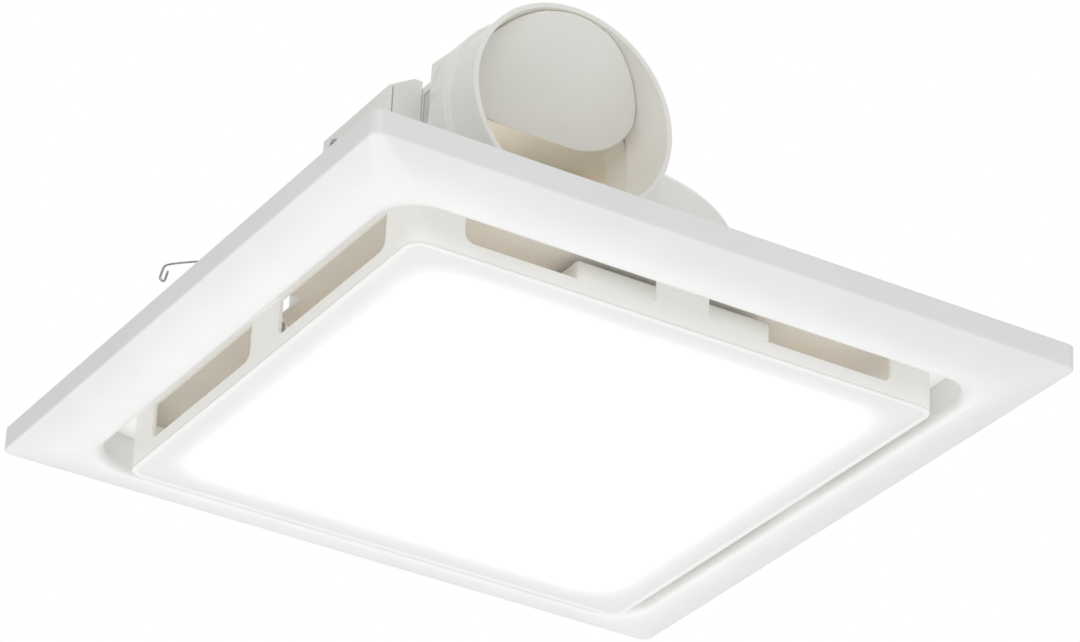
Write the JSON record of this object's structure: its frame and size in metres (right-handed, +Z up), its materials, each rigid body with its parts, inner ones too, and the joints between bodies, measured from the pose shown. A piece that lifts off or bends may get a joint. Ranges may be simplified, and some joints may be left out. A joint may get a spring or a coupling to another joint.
{
  "type": "bathroom exhaust fan with light",
  "caption": "Square ceiling exhaust fan with a lit panel: scroll housing with impeller and motor, round duct spigot with damper flap, spring clips and a pull-down fascia.",
  "frame": {"origin": "centre of the ceiling cut-out, in the plane of the fascia rim's back edge", "axes": "+Z up into the ceiling void, -Y towards the duct, -X towards the junction box"},
  "size_m": [0.3604, 0.36, 0.1391],
  "materials": {
    "fascia plastic": "satin white moulded ABS",
    "opal diffuser": "opal moulded acrylic, lit from within",
    "clear acrylic": "clear acrylic light guide",
    "reflector sheet": "white reflector film",
    "circuit board": "white lacquered circuit board",
    "aluminium sheet": "plain rolled sheet",
    "driver case": "light grey moulded plastic",
    "zinc steel": "bright zinc plated steel",
    "housing plastic": "warm grey moulded polypropylene",
    "grey foam": "closed-cell foam",
    "bright steel": "ground steel",
    "impeller plastic": "grey moulded plastic",
    "core steel": "stacked electrical steel",
    "enamelled copper": "enamelled copper wire",
    "black rubber": "moulded rubber",
    "black plastic": "black moulded plastic",
    "cream nylon": "cream moulded nylon",
    "spring wire": "drawn spring wire"
  },
  "bodies": {
    "base": {"base_plate": "housing plastic", "gasket": "grey foam", "inlet_ring": "fascia plastic", "scroll_housing": "housing plastic", "housing_screw_front_right": "zinc steel", "housing_screw_right": "zinc steel", "housing_screw_back": "zinc steel", "housing_screw_left": "zinc steel", "duct_collar": "housing plastic", "damper_pin": "bright steel", "motor_stator": "core steel", "winding_upper": "enamelled copper", "winding_lower": "enamelled copper", "motor_upper_case": "zinc steel", "motor_lower_case": "zinc steel", "bearing_upper": "bright steel", "bearing_lower": "bright steel", "motor_plate": "zinc steel", "motor_bush_1": "black rubber", "motor_bush_2": "black rubber", "motor_bush_3": "black rubber", "motor_bolt_1": "zinc steel", "motor_bolt_2": "zinc steel", "motor_bolt_3": "zinc steel", "run_capacitor": "black plastic", "junction_box": "housing plastic", "junction_box_cover": "housing plastic", "junction_cover_screw": "zinc steel", "terminal_block": "cream nylon", "cable_gland": "black plastic", "clip_bracket_left": "zinc steel", "clip_bracket_right": "zinc steel", "clip_pin_left": "bright steel", "clip_pin_right": "bright steel"},
    "fascia": {"fascia_frame": "fascia plastic", "light_tray": "fascia plastic", "diffuser": "opal diffuser", "light_guide_plate": "clear acrylic", "reflector_sheet": "reflector sheet", "led_strip_left": "circuit board", "led_strip_right": "circuit board", "lamp_back_plate": "aluminium sheet", "led_driver": "driver case", "driver_screw_left": "zinc steel", "driver_screw_right": "zinc steel", "tray_screw_front_left": "zinc steel", "tray_screw_back_left": "zinc steel", "tray_screw_front_right": "zinc steel", "tray_screw_back_right": "zinc steel", "pull_spring_left": "spring wire", "pull_spring_right": "spring wire"},
    "rotor": {"impeller": "impeller plastic", "impeller_nut": "bright steel", "motor_shaft": "bright steel", "motor_rotor": "core steel"},
    "damper": {"damper_flap": "housing plastic"},
    "clip_left": {"clip_spring_left": "spring wire"},
    "clip_right": {"clip_spring_right": "spring wire"}
  },
  "joints": [
    {"name": "fascia_drop", "type": "slide", "parent": "base", "child": "fascia", "axis": [0, 0, -1], "range_m": [0, 0.04]},
    {"name": "impeller_spin", "type": "hinge", "parent": "base", "child": "rotor", "pos_m": [0, 0, 0.05], "axis": [0, 0, 1], "continuous": true},
    {"name": "damper_swing", "type": "hinge", "parent": "base", "child": "damper", "pos_m": [-0.064, -0.1247, 0.0839], "axis": [1, 0, 0], "range_deg": [0, 24]},
    {"name": "clip_left_swing", "type": "hinge", "parent": "base", "child": "clip_left", "pos_m": [-0.143, 0.0205, 0.0295], "axis": [0, 1, 0], "range_deg": [0, 110], "stiffness_Nm_per_rad": 0.05, "springref_deg": -28.65},
    {"name": "clip_right_swing", "type": "hinge", "parent": "base", "child": "clip_right", "pos_m": [0.143, -0.0205, 0.0295], "axis": [0, -1, 0], "range_deg": [0, 110], "stiffness_Nm_per_rad": 0.05, "springref_deg": -28.65}
  ]
}
